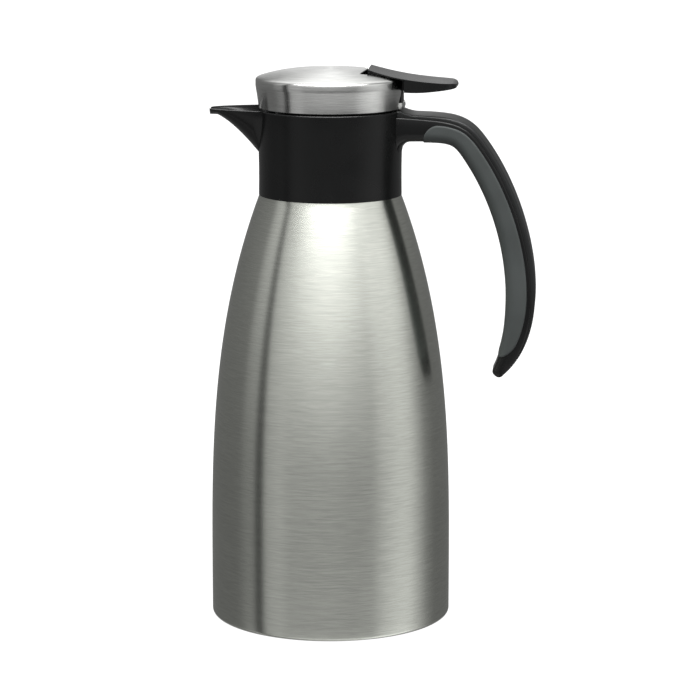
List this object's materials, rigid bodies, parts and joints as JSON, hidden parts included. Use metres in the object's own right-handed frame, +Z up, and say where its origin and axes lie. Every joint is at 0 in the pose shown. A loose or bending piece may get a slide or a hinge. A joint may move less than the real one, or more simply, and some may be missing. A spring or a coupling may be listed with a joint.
{
  "type": "thermal carafe",
  "caption": "Double-wall steel thermal carafe with open side handle, pouring spout and a screw lid with a press-to-pour lever and valve.",
  "frame": {"origin": "middle of the base pad, on the flask's axis, at the table", "axes": "+Z up along the flask's axis; the spout points to -X, the handle and the lever to +X"},
  "size_m": [0.1651, 0.1222, 0.2811],
  "materials": {
    "brushed_steel": "brushed round the body, satin",
    "inner_steel": "plain drawn steel",
    "black_plastic": "fine satin moulding",
    "satin_cover": "smooth satin moulding",
    "soft_grip": "soft matt grip",
    "pad_rubber": "matt rubber",
    "silicone": "translucent white silicone",
    "valve_plastic": "natural white moulding",
    "pin_steel": "turned stainless steel"
  },
  "bodies": {
    "flask": {"outer_shell": "brushed_steel", "inner_flask": "inner_steel", "base_plate": "inner_steel", "base_pad": "pad_rubber", "getter": "inner_steel", "vacuum_plug": "inner_steel", "collar": "black_plastic", "neck_gasket": "silicone", "collar_ring": "black_plastic", "handle_frame": "black_plastic", "handle_back_cover": "satin_cover", "handle_grip": "soft_grip", "handle_screws": "pin_steel"},
    "stopper_seal": {"stopper_gasket": "silicone"},
    "lid": {"lid_cap": "brushed_steel", "lid_liner": "black_plastic", "stopper_core": "black_plastic", "lid_screws": "pin_steel", "valve_seat": "valve_plastic", "rod_bush": "valve_plastic", "rod_seal": "pad_rubber", "lever_pin": "pin_steel", "valve_spring": "pin_steel"},
    "valve": {"valve_plug": "valve_plastic", "valve_gasket": "silicone", "plug_washer": "pin_steel", "rod_clip": "pin_steel", "valve_rod": "pin_steel", "cross_head": "valve_plastic", "cross_pin": "pin_steel", "spring_washer": "pin_steel"},
    "lever": {"lever": "black_plastic"}
  },
  "joints": [
    {"name": "lid_lift", "type": "slide", "parent": "flask", "child": "stopper_seal", "axis": [0, 0, 1], "range_m": [0, 0.064]},
    {"name": "lid_turn", "type": "hinge", "parent": "stopper_seal", "child": "lid", "pos_m": [0, 0, 0.23], "axis": [0, 0, 1], "range_deg": [0, 1440]},
    {"name": "lever_press", "type": "hinge", "parent": "lid", "child": "lever", "pos_m": [0.032, 0, 0.2705], "axis": [0, 1, 0], "range_deg": [0, 8], "stiffness_Nm_per_rad": 0.512, "springref_deg": -14.32},
    {"name": "valve_lift", "type": "slide", "parent": "lid", "child": "valve", "axis": [0, 0, 1], "range_m": [0, 0.00449], "deforming": ["valve_spring"]}
  ],
  "couplings": [
    {"joint": "lid_lift", "follows": "lid_turn", "m_per_rad": 0.0025465},
    {"joint": "valve_lift", "follows": "lever_press", "m_per_rad": 0.032}
  ]
}
